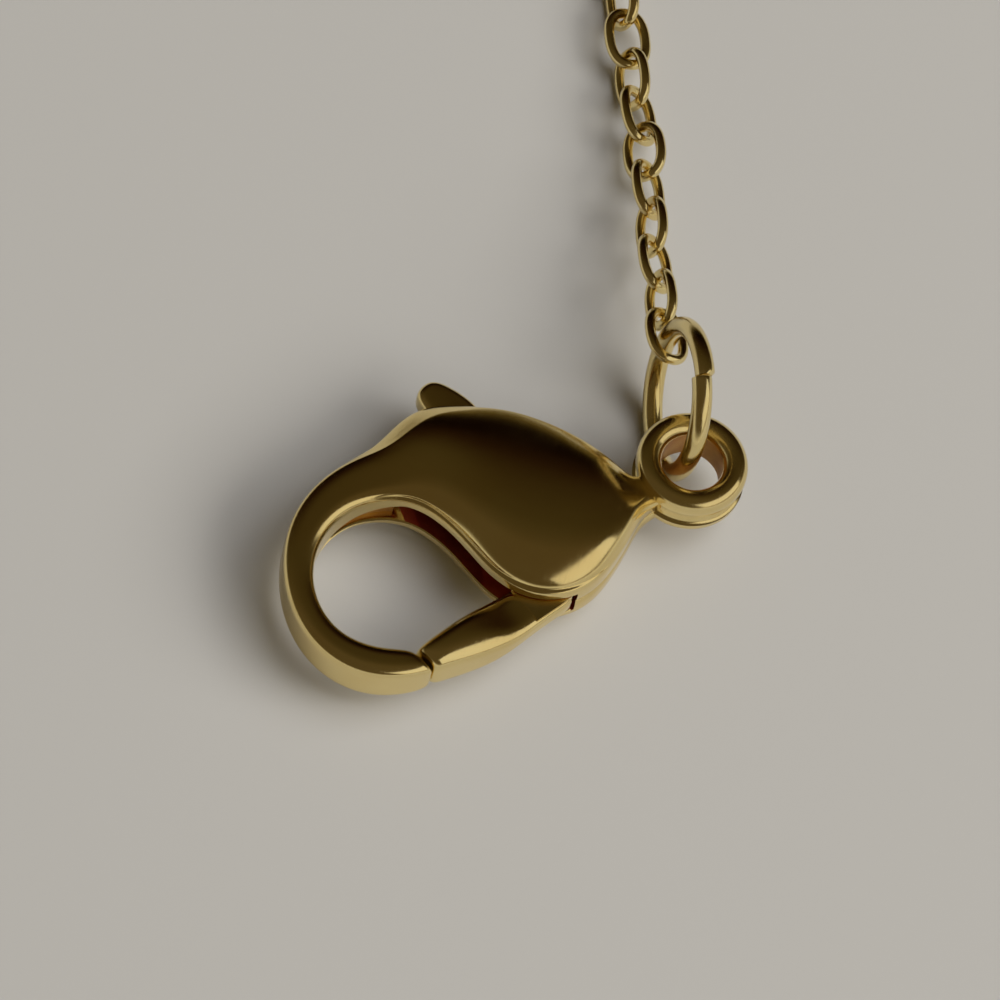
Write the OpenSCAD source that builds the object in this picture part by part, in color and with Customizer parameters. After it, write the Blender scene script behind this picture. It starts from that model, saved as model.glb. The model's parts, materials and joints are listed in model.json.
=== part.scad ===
// Fine cable chain necklace with a lobster clasp, laid flat and unfastened.
// Millimetres. Z is up, the chain lies on Z = 0, and the origin is the middle of the whole outline.

/* [Clasp] */
// Half thickness of the hook's rounded bar
hook_half = 0.62; // [0.5:0.02:0.7]
// Half thickness of the shell along its rim
rim_half = 0.66; // [0.6:0.02:0.75]
// Half thickness of the shell at the top of its pillow
crown_half = 1.3; // [1.1:0.05:1.45]
// Radius that rounds the long edges
edge_round = 0.22; // [0.15:0.01:0.25]
// Half height of the gap between the two plates of the shell
slot_half = 0.38; // [0.36:0.01:0.42]
// Thickness of the wall that joins the plates
shell_wall = 0.34; // [0.3:0.02:0.4]
// Angle of the clasp on the table, from the X axis to the line through its eye
clasp_turn = 45; // [40:1:50]

/* [Eye] */
// Outer radius of the eye
eye_r = 1.41; // [1.38:0.01:1.45]
// Radius of the eye's hole
eye_hole_r = 0.78; // [0.75:0.01:0.8]
// Thickness of the eye
eye_thick = 1.34; // [1.2:0.02:1.36]

/* [Lever] */
// Half thickness of the lever between the plates
lever_half = 0.33; // [0.28:0.01:0.34]
// Radius of the pivot pin
pin_r = 0.27; // [0.2:0.01:0.3]
// Gap round the pivot pin
pin_gap = 0.04; // [0.03:0.01:0.06]
// Radius of the lever's hub
hub_r = 0.62; // [0.55:0.01:0.65]

/* [Rings] */
// Radius of the jump ring and of the end ring, to the middle of the wire
ring_r = 1.82; // [1.8:0.01:1.85]
// Radius of the rings' wire
ring_wire_r = 0.255; // [0.24:0.005:0.26]
// Opening of the cut in the jump ring, in degrees
ring_cut = 1.6; // [1:0.1:3]

/* [Chain] */
// Length of a link over its ends
link_l = 1.79; // [1.78:0.01:1.8]
// Width of a link
link_w = 1.22; // [1.2:0.01:1.24]
// Diameter of a link's wire
link_wire = 0.27; // [0.24:0.01:0.28]

/* [Hidden] */
$fn = 48;
link_fn = 24;

// Length of the cylinders that cut right through the clasp, and how far other cutters reach past a face
through = 2;
past = 0.01;

// Links built one by one after the jump ring: x and y from the middle of the eye, height of the
// middle over the table, and roll about the chain's own line
near_rows = [
    [-1.56, 3.42, 1.80, 24], [-1.95, 4.54, 1.55, -64], [-2.35, 5.65, 1.31, 42],
    [-2.70, 6.78, 1.10, -63], [-3.06, 7.92, 0.93, 44], [-3.43, 9.06, 0.78, -38],
    [-3.84, 10.12, 0.65, 39], [-4.26, 11.14, 0.59, -58], [-4.68, 12.26, 0.59, 8],
    [-5.11, 13.38, 0.59, -62], [-5.54, 14.51, 0.57, 30], [-5.97, 15.62, 0.52, -48]
];
link_names = [for (i = [1 : len(near_rows)]) str("link_", i < 10 ? "0" : "", i)];

gold = [0.83, 0.68, 0.36];
deep_gold = [0.74, 0.58, 0.28];

// Where the clasp's own frame lies, and how high its middle plane is
eye_at = [66, -6.5];
clasp_z = crown_half;

// The eye's middle in that frame, and its underside over the middle plane
eye_shift = [0, 0.05];
eye_low = -0.46;

// Sections of hook, shell and neck, from the hook's tip round to the eye, in the clasp's own frame:
// the eye is at 0, 0 and the hook is towards -X. Each row is
// outer x, outer y, inner x, inner y, half thickness at the rim, half thickness at the crown, ledge
clasp_rows = [
    [-8.72, -2.14, -8.92, -1.42, 0.55, 0.58, 0],
    [-9.25, -2.06, -9.24, -1.22, hook_half - 0.02, hook_half + 0.02, 0],
    [-9.87, -1.86, -9.62, -1.00, hook_half - 0.02, hook_half + 0.04, 0],
    [-10.46, -1.44, -9.95, -0.70, hook_half - 0.02, hook_half + 0.04, 0],
    [-10.88, -0.86, -10.22, -0.34, hook_half - 0.02, hook_half + 0.04, 0],
    [-11.12, -0.14, -10.38, 0.12, hook_half - 0.02, hook_half + 0.04, 0],
    [-11.14, 0.66, -10.40, 0.62, hook_half - 0.02, hook_half + 0.04, 0],
    [-10.96, 1.47, -10.28, 1.20, hook_half - 0.02, hook_half + 0.04, 0],
    [-10.58, 2.27, -9.98, 1.75, hook_half - 0.02, hook_half + 0.04, 0],
    [-10.02, 2.97, -9.53, 2.22, hook_half - 0.02, hook_half + 0.05, 0],
    [-9.32, 3.48, -8.97, 2.53, hook_half - 0.01, hook_half + 0.06, 0],
    [-8.52, 3.79, -8.36, 2.66, hook_half, hook_half + 0.08, 0],
    [-7.72, 3.92, -7.76, 2.58, rim_half - 0.02, 0.74, 0.02],
    [-7.02, 3.97, -7.22, 2.34, rim_half, 0.80, 0.08],
    [-6.43, 4.20, -6.80, 1.96, rim_half, 0.88, 0.14],
    [-5.74, 4.46, -6.52, 1.42, rim_half, 0.98, 0.16],
    [-5.05, 4.42, -6.34, 0.78, rim_half, 1.09, 0.16],
    [-4.40, 4.08, -6.24, 0.12, rim_half, 1.19, 0.15],
    [-3.80, 3.72, -6.10, -0.55, rim_half, crown_half - 0.03, 0.14],
    [-3.28, 3.31, -5.76, -1.20, rim_half, crown_half, 0.14],
    [-2.83, 2.85, -5.20, -1.67, rim_half, crown_half, 0.13],
    [-2.43, 2.35, -4.48, -1.87, rim_half, crown_half - 0.03, 0.12],
    [-2.10, 1.82, -3.74, -1.78, rim_half, 1.18, 0.10],
    [-1.86, 1.33, -3.05, -1.45, rim_half - 0.01, 1.05, 0.08],
    [-1.72, 0.96, -2.42, -1.05, rim_half - 0.03, 0.92, 0.05],
    [-1.62, 0.64, -1.94, -0.70, 0.60, 0.74, 0.02],
    [-1.50, 0.44, -1.56, -0.52, 0.57, 0.62, 0],
    [-1.28, 0.40, -1.26, -0.50, 0.52, 0.57, 0],
    [-1.00, 0.42, -0.98, -0.50, 0.42, 0.46, 0]
];

// Rows between which the shell is hollow, and between which its back and its front are open
hollow_rows = [13.4, 24];
back_open = [14.8, 21.9];
front_open_until = 21.1;

// Sections of the gate, from its tip to its root, in the same columns
gate_rows = [
    [-8.66, -2.12, -8.86, -1.40, 0.54, 0.60, 0],
    [-8.15, -2.18, -8.24, -1.26, 0.58, 0.68, 0],
    [-7.50, -2.26, -7.52, -1.13, 0.57, 0.67, 0],
    [-6.95, -2.28, -7.00, -1.05, 0.48, 0.57, 0],
    [-6.50, -2.25, -6.60, -1.00, 0.37, 0.42, 0],
    [-6.10, -2.18, -6.24, -0.96, 0.31, 0.32, 0],
    [-5.60, -2.06, -5.75, -0.90, 0.31, 0.32, 0],
    [-5.10, -1.97, -5.20, -0.85, 0.31, 0.32, 0],
    [-4.50, -1.87, -4.42, -0.95, 0.31, 0.32, 0]
];

// The pivot, and the outline of the lever's arm up to the thumb tab
pivot_at = [-3.95, -0.8];
arm_outline = [
    [-4.52, -0.60], [-5.05, 3.30], [-5.16, 4.20], [-5.20, 4.70], [-5.08, 4.92], [-4.76, 5.02],
    [-4.48, 4.95], [-4.16, 4.50], [-3.94, 3.95], [-3.96, 3.30], [-3.36, -0.60]
];
root_outline = [
    [-5.80, -0.96], [-5.00, -0.62], [-4.40, -0.35], [-4.00, -1.36], [-4.40, -1.50], [-4.52, -1.78],
    [-5.30, -1.93], [-5.65, -1.99]
];

// Middle of the jump ring in the clasp's frame, and the direction of its axis
ring_at = [0.55, 1.73, 2.045];
ring_turn = -23.2;
ring_tilt = 100.2;
ring_cut_at = -170;

// Middle line of the rest of the chain on the table, from the last near link round to the end ring
chain_r = 0.5;
lying_z = 0.47;
route = [
    [59.70, 10.00], [58.2, 13.9], [55.0, 21.5], [46.5, 34.0], [28.0, 49.5], [4.0, 56.68], [-22.0, 54.5],
    [-46.5, 42.5], [-62.0, 22.5], [-66.96, -2.5], [-60.0, -27.0], [-43.0, -46.5], [-19.5, -56.5],
    [4.0, -54.5], [23.0, -43.0], [34.5, -28.0], [41.3, -19.4]
];
rings_per_span = 5;
end_heading = 51.7;

// Points of a uniform cubic spline that starts and ends on the first and last rows
function spline_point(rows, i, t) =
    (pow(1 - t, 3) * rows[i] + (3 * pow(t, 3) - 6 * t * t + 4) * rows[i + 1]
    + (-3 * pow(t, 3) + 3 * t * t + 3 * t + 1) * rows[i + 2] + pow(t, 3) * rows[i + 3]) / 6;
function padded(rows) =
    concat([rows[0], rows[0]], rows, [rows[len(rows) - 1], rows[len(rows) - 1]]);
function spline_row(rows, s) =
    let (p = padded(rows), last = len(p) - 4, u = min(max(s + 1, 0), last + 0.9999), i = floor(u))
    spline_point(p, i, u - i);
function fine_rows(rows, steps) = [
    for (k = [0 : (len(rows) + 1) * steps]) spline_row(rows, k / steps - 1)
];

// One closed section of a row, as points in space, with the middle plane at Z = 0. The dome starts
// a hair inside the rim's edge, so that no two points fall together where there is no ledge
dome_steps = 8;
dome_fullness = 2.5;
dome_shoulder = 0.6;
dome_inset = 0.02;
function dome(t) = pow(1 - pow(abs(2 * t - 1), dome_fullness), dome_shoulder);
function half_section(w, rim, crown, ledge) =
    let (r = edge_round, bevel = 0.3 * r, flat = r + ledge)
    concat(
        [[0, rim - r], [bevel, rim - bevel], [r, rim]],
        [for (k = [0 : dome_steps]) let (t = k / dome_steps)
            [flat + t * (w - 2 * flat) + (k == 0 ? dome_inset : k == dome_steps ? -dome_inset : 0),
            rim + (crown - rim) * dome(t)]],
        [[w - r, rim], [w - bevel, rim - bevel], [w, rim - r]]);
function section(row) =
    let (
        w = norm([row[2] - row[0], row[3] - row[1]]),
        along = [row[2] - row[0], row[3] - row[1]] / w,
        top = half_section(w, row[4], row[5], row[6]),
        flat_ring = concat(top, [for (k = [len(top) - 1 : -1 : 0]) [top[k][0], -top[k][1]]]))
    [for (p = flat_ring) [row[0] + along[0] * p[0], row[1] + along[1] * p[0], p[1]]];

// Solid through a list of closed sections, with a fan of triangles over each end
module loft(sections, turn_over = false) {
    n = len(sections[0]);
    count = len(sections);
    shares = [for (j = [0 : n - 1]) 1 / n];
    middles = [shares * sections[0], shares * sections[count - 1]];
    points = concat([for (ring = sections) each ring], middles);
    sides = [for (i = [0 : count - 2]) for (j = [0 : n - 1]) let (k = (j + 1) % n)
        each [[i * n + j, i * n + k, (i + 1) * n + k], [i * n + j, (i + 1) * n + k, (i + 1) * n + j]]];
    caps = [for (j = [0 : n - 1]) let (k = (j + 1) % n)
        each [[count * n, k, j], [count * n + 1, (count - 1) * n + j, (count - 1) * n + k]]];
    faces = concat(sides, caps);
    polyhedron(points, turn_over ? faces : [for (f = faces) [f[2], f[1], f[0]]]);
}

// Point of a row's chord: from_outer counts inwards from the outer edge
function chord_point(row, from_outer) =
    let (outer = [row[0], row[1]], inner = [row[2], row[3]])
    outer + (inner - outer) / norm(inner - outer) * from_outer;
function chord_length(row) = norm([row[2] - row[0], row[3] - row[1]]);

module hollow() {
    step = 0.2;
    reach = 0.5;
    stations = [for (s = [hollow_rows[0] : step : hollow_rows[1]]) s];
    back = [for (s = stations) let (row = spline_row(clasp_rows, s))
        chord_point(row, s > back_open[0] && s < back_open[1] ? -reach : shell_wall)];
    front = [for (k = [len(stations) - 1 : -1 : 0]) let (s = stations[k], row = spline_row(clasp_rows, s))
        chord_point(row, chord_length(row) + (s < front_open_until ? reach : -shell_wall))];
    linear_extrude(2 * slot_half, center = true) polygon(concat(back, front));
}

module rounded_bar(r_in, r_out, z_low, z_high, corner) {
    translate([r_in + corner, z_low]) square([r_out - r_in - 2 * corner, z_high - z_low]);
    translate([r_in, z_low + corner]) square([r_out - r_in, z_high - z_low - 2 * corner]);
    for (x = [r_in + corner, r_out - corner], y = [z_low + corner, z_high - corner])
        translate([x, y]) circle(corner);
}

module eye() {
    corner = min(0.3, (eye_r - eye_hole_r) / 2 - past);
    groove_z = 0.19;
    mouth = 0.26;
    floor_half = 0.18;
    depth = 0.12;
    translate(eye_shift) rotate_extrude() difference() {
        rounded_bar(eye_hole_r, eye_r, eye_low, eye_low + eye_thick, corner);
        translate([eye_r, groove_z])
            polygon([[past, -mouth], [-depth, -floor_half], [-depth, floor_half], [past, mouth]]);
    }
}

module in_clasp_frame() {
    translate([eye_at[0], eye_at[1], clasp_z]) rotate([0, 0, clasp_turn]) children();
}

module clasp_body() {
    clear_of_eye = eye_hole_r + 0.05;
    color(gold) in_clasp_frame() {
        difference() {
            loft([for (row = fine_rows(clasp_rows, 2)) section(row)]);
            hollow();
            translate(eye_shift) cylinder(h = through, r = clear_of_eye, center = true);
        }
        eye();
    }
}

module lever() {
    color(gold) in_clasp_frame() difference() {
        union() {
            linear_extrude(2 * lever_half, center = true) {
                translate(pivot_at) circle(hub_r);
                polygon(arm_outline);
                polygon(root_outline);
            }
            loft([for (row = fine_rows(gate_rows, 2)) section(row)], turn_over = true);
        }
        translate(pivot_at) cylinder(h = through, r = pin_r + pin_gap, center = true);
    }
}

module pivot_pin() {
    color(deep_gold) in_clasp_frame()
        translate(pivot_at) cylinder(h = 2 * slot_half, r = pin_r, center = true);
}

module ring_wire(open_angle = 0, start_at = 0) {
    rotate_extrude(angle = 360 - open_angle, start = start_at)
        translate([ring_r, 0]) circle(ring_wire_r);
}

module jump_ring() {
    color(gold) translate([eye_at[0], eye_at[1], 0]) rotate([0, 0, clasp_turn]) translate(ring_at)
        rotate([0, ring_tilt, ring_turn]) ring_wire(ring_cut, ring_cut_at + ring_cut / 2);
}

// A link lies along X, flat on the XY plane
module link() {
    bend_r = (link_w - link_wire) / 2;
    half_straight = (link_l - link_w) / 2;
    for (side = [-1, 1]) {
        translate([side * half_straight, 0, 0]) rotate([0, 0, -90 * side])
            rotate_extrude(angle = 180, start = 0)
                translate([bend_r, 0]) circle(link_wire / 2, $fn = link_fn);
        translate([0, side * bend_r, 0]) rotate([0, 90, 0])
            cylinder(h = 2 * half_straight, r = link_wire / 2, center = true, $fn = link_fn);
    }
}

// A near link points from the link before it to the link after it
function link_middle(i) = [eye_at[0] + near_rows[i][0], eye_at[1] + near_rows[i][1], near_rows[i][2]];
function link_line(i) = link_middle(min(i + 1, len(near_rows) - 1)) - link_middle(max(i - 1, 0));

module near_link(i) {
    line = link_line(i);
    color(gold) translate(link_middle(i)) rotate([0, -asin(line[2] / norm(line)), atan2(line[1], line[0])])
        rotate([near_rows[i][3], 0, 0]) link();
}

// The rest of the chain, as one tube along its middle line
function catmull(a, b, c, d, t) =
    0.5 * (2 * b + (c - a) * t + (2 * a - 5 * b + 4 * c - d) * t * t + (3 * b - a - 3 * c + d) * pow(t, 3));
function route_point(u) =
    let (last = len(route) - 1, i = min(floor(u), last - 1), t = u - i)
    catmull(i == 0 ? 2 * route[0] - route[1] : route[i - 1], route[i], route[i + 1],
        i + 2 > last ? 2 * route[last] - route[last - 1] : route[i + 2], t);

module chain() {
    last = len(route) - 1;
    count = last * rings_per_span;
    sides = 8;
    half_side = 180 / sides;
    nearby = 0.01;
    color(deep_gold) loft([
        for (k = [0 : count])
        let (
            u = k / rings_per_span,
            ahead = route_point(min(u + nearby, last)) - route_point(max(u - nearby, 0)),
            across = [-ahead[1], ahead[0]] / norm(ahead),
            p = route_point(u))
        [for (a = [half_side : 2 * half_side : 360]) [
            p[0] + across[0] * chain_r * cos(a),
            p[1] + across[1] * chain_r * cos(a),
            lying_z + lying_z * sin(a) / cos(half_side)]]
    ]);
}

// The last link stands on its side round the end ring's wire, a little past the tube's end
end_dir = [cos(end_heading), sin(end_heading)];
end_gap = 0.12;
end_lift = link_w / 2 + 0.01;
end_link_at = route[len(route) - 1] + end_dir * (link_l / 2 + end_gap);

module end_link() {
    color(gold) translate([end_link_at[0], end_link_at[1], end_lift])
        rotate([0, 0, end_heading]) rotate([90, 0, 0]) link();
}

module end_ring() {
    wire_gap = 0.05;
    hold = link_l / 2 - link_wire - ring_wire_r - wire_gap;
    tilt = asin((end_lift - ring_wire_r) / (2 * ring_r));
    middle = end_link_at + end_dir * (hold + ring_r * cos(tilt));
    color(gold) translate([middle[0], middle[1], (end_lift + ring_wire_r) / 2])
        rotate([0, 0, end_heading]) rotate([0, tilt, 0]) ring_wire();
}

clasp_body();
lever();
pivot_pin();
jump_ring();
for (i = [0 : len(near_rows) - 1])
    near_link(i);
chain();
end_link();
end_ring();
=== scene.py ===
import json
import math

import bpy
from mathutils import Matrix, Vector

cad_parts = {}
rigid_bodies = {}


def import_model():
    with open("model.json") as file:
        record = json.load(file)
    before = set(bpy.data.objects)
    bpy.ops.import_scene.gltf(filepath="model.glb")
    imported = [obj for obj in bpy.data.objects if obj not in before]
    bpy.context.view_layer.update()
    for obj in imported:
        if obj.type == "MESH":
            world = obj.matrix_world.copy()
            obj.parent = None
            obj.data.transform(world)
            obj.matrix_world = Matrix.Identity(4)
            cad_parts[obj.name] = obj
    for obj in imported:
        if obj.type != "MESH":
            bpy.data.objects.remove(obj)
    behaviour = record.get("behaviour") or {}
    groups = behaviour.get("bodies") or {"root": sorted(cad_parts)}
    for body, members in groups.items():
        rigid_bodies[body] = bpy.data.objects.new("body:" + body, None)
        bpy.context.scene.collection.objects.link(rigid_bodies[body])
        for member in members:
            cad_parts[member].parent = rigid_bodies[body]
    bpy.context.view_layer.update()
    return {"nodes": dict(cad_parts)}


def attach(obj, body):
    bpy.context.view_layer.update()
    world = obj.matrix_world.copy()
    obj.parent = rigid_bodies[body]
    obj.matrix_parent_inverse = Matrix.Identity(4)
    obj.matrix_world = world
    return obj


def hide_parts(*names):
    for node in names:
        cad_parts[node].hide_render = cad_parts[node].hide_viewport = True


# A fine cable chain necklace with a lobster clasp, laid flat. Pieces are modelled in millimetres,
# and placePiece brings each one to metres and to its place on the table.
mm = 0.001
toMetres = Matrix.Diagonal((mm, mm, mm, 1))
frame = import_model()
print("frame loaded:", len(frame["nodes"]), "nodes")


# Selecting and editing

# how near two vertices lie, in millimetres, to be made one
weld = {"seam": 0.00001, "spin": 0.0001, "sliver": 0.0005}


def deselectAll():
    if bpy.context.object and bpy.context.object.mode != "OBJECT":
        bpy.ops.object.mode_set(mode="OBJECT")
    bpy.ops.object.select_all(action="DESELECT")


def choose(piece, *others):
    deselectAll()
    for other in others:
        other.select_set(True)
    piece.select_set(True)
    bpy.context.view_layer.objects.active = piece


def pickAll(piece):
    choose(piece)
    bpy.ops.object.mode_set(mode="EDIT")
    bpy.ops.mesh.select_mode(type="VERT")
    bpy.ops.mesh.select_all(action="SELECT")


def done():
    bpy.ops.object.mode_set(mode="OBJECT")


def modify(piece, kind, **settings):
    choose(piece)
    modifier = piece.modifiers.new(kind.lower(), kind)
    for name, value in settings.items():
        setattr(modifier, name, value)
    bpy.ops.object.modifier_apply(modifier=modifier.name)


def combine(piece, other, operation):
    # the faces that the other piece leaves keep its finish
    modify(piece, "BOOLEAN", object=other, operation=operation, solver="EXACT", material_mode="TRANSFER")
    bpy.data.objects.remove(other)


def placePiece(piece, place):
    choose(piece)
    piece.matrix_world = place
    bpy.ops.object.transform_apply(location=True, rotation=True, scale=True)


def wrapRings(name, rings, levels, material):
    # a grid with a row for each ring, wrapped round the rings, closed at its seam and its two ends
    columns, rows = len(rings[0]), len(rings) - 1
    deselectAll()
    bpy.ops.mesh.primitive_grid_add(x_subdivisions=columns, y_subdivisions=rows, size=1)
    piece = bpy.context.object
    piece.name = name
    piece.data.materials.append(material)
    for vertex in piece.data.vertices:
        column = round((vertex.co.x + 0.5) * columns)
        row = round((vertex.co.y + 0.5) * rows)
        vertex.co = rings[row][column % columns]
    pickAll(piece)
    bpy.ops.mesh.remove_doubles(threshold=weld["seam"])
    bpy.ops.mesh.select_mode(type="EDGE")
    bpy.ops.mesh.select_all(action="DESELECT")
    bpy.ops.mesh.select_non_manifold()
    bpy.ops.mesh.fill_holes(sides=0)
    bpy.ops.mesh.select_all(action="SELECT")
    bpy.ops.mesh.normals_make_consistent(inside=False)
    done()
    if levels:
        modify(piece, "SUBSURF", levels=levels, render_levels=levels)
    return piece


def cutPlate(name, outline, low, high, material):
    # a flat plate with this outline, from one circle that is pulled to the outline and extruded
    deselectAll()
    bpy.ops.mesh.primitive_circle_add(vertices=len(outline), radius=1, fill_type="NGON")
    plate = bpy.context.object
    plate.name = name
    plate.data.materials.append(material)
    for vertex, (x, y) in zip(plate.data.vertices, outline):
        vertex.co = (x, y, low)
    pickAll(plate)
    bpy.ops.mesh.extrude_region_move(TRANSFORM_OT_translate={"value": (0, 0, high - low)})
    bpy.ops.mesh.select_all(action="SELECT")
    bpy.ops.mesh.normals_make_consistent(inside=False)
    done()
    return plate


def addCylinder(name, radius, low, high, material, centre=(0, 0), vertices=64):
    deselectAll()
    bpy.ops.mesh.primitive_cylinder_add(vertices=vertices, radius=radius, depth=high - low,
                                        location=(centre[0], centre[1], (low + high) / 2))
    piece = bpy.context.object
    piece.name = name
    piece.data.materials.append(material)
    placePiece(piece, piece.matrix_world.copy())
    return piece


# Finishes

class Value:
    # wraps a socket, so that shader sums read as plain expressions
    def __init__(self, finish, socket):
        self.finish = finish
        self.socket = socket

    def math(self, operation, *others):
        return self.finish.node("ShaderNodeMath", {"operation": operation}, [self, *others])

    def __add__(self, other):
        return self.math("ADD", other)

    __radd__ = __add__

    def __mul__(self, other):
        return self.math("MULTIPLY", other)

    __rmul__ = __mul__

    def __sub__(self, other):
        return self.math("SUBTRACT", other)

    def __rsub__(self, other):
        return self.finish.node("ShaderNodeMath", {"operation": "SUBTRACT"}, [other, self])

    def clipped(self):
        return self.finish.node("ShaderNodeClamp", {}, [self])


class Finish:
    # one material or world, with a method that adds any node
    def __init__(self, tree):
        self.tree = tree
        self.tree.nodes.clear()

    def node(self, kind, settings, sockets, output=0):
        made = self.tree.nodes.new(kind)
        for name, value in settings.items():
            if name == "stops":
                self.setStops(made.color_ramp, value)
            else:
                setattr(made, name, value)
        pairs = sockets.items() if isinstance(sockets, dict) else enumerate(sockets)
        for name, value in pairs:
            if isinstance(value, Value):
                self.tree.links.new(value.socket, made.inputs[name])
            elif value is not None:
                made.inputs[name].default_value = value
        return Value(self, made.outputs[output]) if made.outputs else made

    def setStops(self, ramp, stops):
        while len(ramp.elements) < len(stops):
            ramp.elements.new(0.5)
        for element, (place, colour) in zip(ramp.elements, stops):
            element.position = place
            element.color = (*colour, 1)

    def blend(self, share, first, second):
        return self.node("ShaderNodeMix", {"data_type": "RGBA"}, {0: share, 6: first, 7: second}, output=2)

    def noise(self, place, scale, detail=2.0, roughness=0.5, stretch=(1, 1, 1), turn=(0, 0, 0)):
        place = self.node("ShaderNodeMapping", {}, {"Vector": place, "Scale": stretch, "Rotation": turn})
        return self.node("ShaderNodeTexNoise", {},
                         {"Vector": place, "Scale": scale, "Detail": detail, "Roughness": roughness})

    def band(self, value, low, high):
        return self.node("ShaderNodeMapRange", {}, {"Value": value, "From Min": low, "From Max": high})

    def patches(self, place, look, grain=1.0):
        # cloudy patches, from none to full between the look's two levels
        clouds = self.noise(place, look["scale"] * grain, look["detail"], look["roughness"])
        return self.band(clouds, look["low"], look["high"])


gold = {
    "colour": (0.86, 0.70, 0.33, 1),
    "paleColour": (0.90, 0.76, 0.42, 1),   # where the polish has been rubbed
    "warmColour": (0.80, 0.60, 0.24, 1),   # faint bloom in the plating
    "roughness": 0.14,
    "smudge": 0.05,      # extra roughness in handled patches
    "scratch": 0.05,     # extra roughness along hairlines
    "rubbing": 0.05,     # extra roughness on the edges
    "bloomShare": 0.5,
    "rubShare": 0.6,
    "bloom": {"scale": 0.45, "detail": 3.0, "roughness": 0.5, "low": 0.42, "high": 0.62},
    "handled": {"scale": 0.9, "detail": 4.0, "roughness": 0.6, "low": 0.48, "high": 0.66},
    "rubbed": {"scale": 2.2, "detail": 5.0, "roughness": 0.65, "low": 0.35, "high": 0.6},
    # three sets of hairlines, each with its turn and stretch
    "lineSets": ((0.4, (40, 1.2, 1.2)), (1.5, (30, 0.9, 0.9)), (2.4, (50, 1.6, 1.6))),
    "lineLean": (0.2, 0.1),
    "lineDetail": (1.0, 0.4),      # detail and roughness of their noise
    "lineLevels": (0.66, 0.74),    # from none to full
    # relief: how fine the ripple and the dimples are, and how high each part stands
    "rippleScale": 1.6,
    "dimpleScale": 9.0,
    "reliefDetail": 2.0,
    "rippleHeight": 2.2,
    "dimpleHeight": 0.35,
    "scratchHeight": 0.25,
    "ripple": 0.0000012,    # depth of the casting's faint ripple, metres
}


# painted shade in the recesses: deep red inside the hollow between the plates, brown on the shallow cut's
# walls and in the eye's hole; the grain and roughness are the metal's own
recessShade = {
    "hollowShadeColours": ((0.34, 0.04, 0.018, 1), (0.46, 0.09, 0.035, 1)),
    "cutShadeColours": ((0.50, 0.24, 0.07, 1), (0.62, 0.36, 0.12, 1)),
    "metallic": 0.75,
    "roughness": 0.38,
    "grainRoughness": 0.15,
    "grain": (14.0, 4.0, 0.6),    # scale, detail and roughness of the pitted grain
    "clouds": {"scale": 1.6, "detail": 3.0, "roughness": 0.5, "low": 0.35, "high": 0.65},
    "pits": 0.000006,    # their depth, metres
}
perMetre = 1000.0    # the finishes are sized in millimetres


def makeGold(name, hairlines, grain):
    # polished plate: faint ripple, hairlines every way, handled patches and rubbed edges
    material = bpy.data.materials.new(name)
    material.use_nodes = True
    finish = Finish(material.node_tree)
    place = finish.node("ShaderNodeTexCoord", {}, [], output=3)
    place = finish.node("ShaderNodeVectorMath", {"operation": "SCALE"}, {0: place, "Scale": perMetre})
    bloom = finish.patches(place, gold["bloom"], grain)
    smudges = finish.patches(place, gold["handled"], grain)
    wear = finish.node("ShaderNodeAttribute", {"attribute_name": "wear"}, [], output=2)
    rubbed = (wear * finish.patches(place, gold["rubbed"], grain)).clipped()
    lineSets = []
    for turn, stretch in gold["lineSets"]:
        lines = finish.noise(place, hairlines, *gold["lineDetail"], stretch, (*gold["lineLean"], turn))
        lineSets.append(finish.band(lines, *gold["lineLevels"]))
    scratches = (lineSets[0] + lineSets[1] + lineSets[2]).clipped()
    ripple = finish.noise(place, gold["rippleScale"] * grain, gold["reliefDetail"])
    dimples = finish.noise(place, gold["dimpleScale"] * grain, gold["reliefDetail"])
    height = (ripple * gold["rippleHeight"] + dimples * gold["dimpleHeight"]
              - scratches * gold["scratchHeight"])
    colour = finish.blend(bloom * gold["bloomShare"], gold["colour"], gold["warmColour"])
    colour = finish.blend(rubbed * gold["rubShare"], colour, gold["paleColour"])
    normal = finish.node("ShaderNodeBump", {},
                         {"Strength": 1.0, "Distance": gold["ripple"], "Height": height})
    roughness = (gold["roughness"] + smudges * gold["smudge"] + scratches * gold["scratch"]
                 + rubbed * gold["rubbing"])
    surface = finish.node("ShaderNodeBsdfPrincipled", {}, {
        "Base Color": colour, "Metallic": 1.0, "Roughness": roughness.clipped(), "Normal": normal})
    finish.node("ShaderNodeOutputMaterial", {}, {"Surface": surface})
    return material


def makeShadeGold(name, colours):
    # painted shade for the recesses over a rough grain: deep red painted shade and interreflection inside the
    # shell's hollow, brown painted shade on the cut's walls and inside the eye's hole
    material = bpy.data.materials.new(name)
    material.use_nodes = True
    finish = Finish(material.node_tree)
    place = finish.node("ShaderNodeTexCoord", {}, [], output=3)
    place = finish.node("ShaderNodeVectorMath", {"operation": "SCALE"}, {0: place, "Scale": perMetre})
    grain = finish.noise(place, *recessShade["grain"])
    clouds = finish.patches(place, recessShade["clouds"])
    colour = finish.blend(clouds, *colours)
    normal = finish.node("ShaderNodeBump", {}, {"Strength": 1.0, "Distance": recessShade["pits"], "Height": grain})
    surface = finish.node("ShaderNodeBsdfPrincipled", {}, {
        "Base Color": colour, "Metallic": recessShade["metallic"],
        "Roughness": recessShade["roughness"] + grain * recessShade["grainRoughness"], "Normal": normal})
    finish.node("ShaderNodeOutputMaterial", {}, {"Surface": surface})
    return material


claspGold = makeGold("claspGold", 1.0, 1.0)
wireGold = makeGold("wireGold", 1.6, 1.8)
# these two finishes are painted shade, not the metal's own colour
hollowShadeGold = makeShadeGold("hollowShadeGold", recessShade["hollowShadeColours"])
cutShadeGold = makeShadeGold("cutShadeGold", recessShade["cutShadeColours"])
print("finishes made")


wearing = {"gain": 6, "floor": 0.15}


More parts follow.
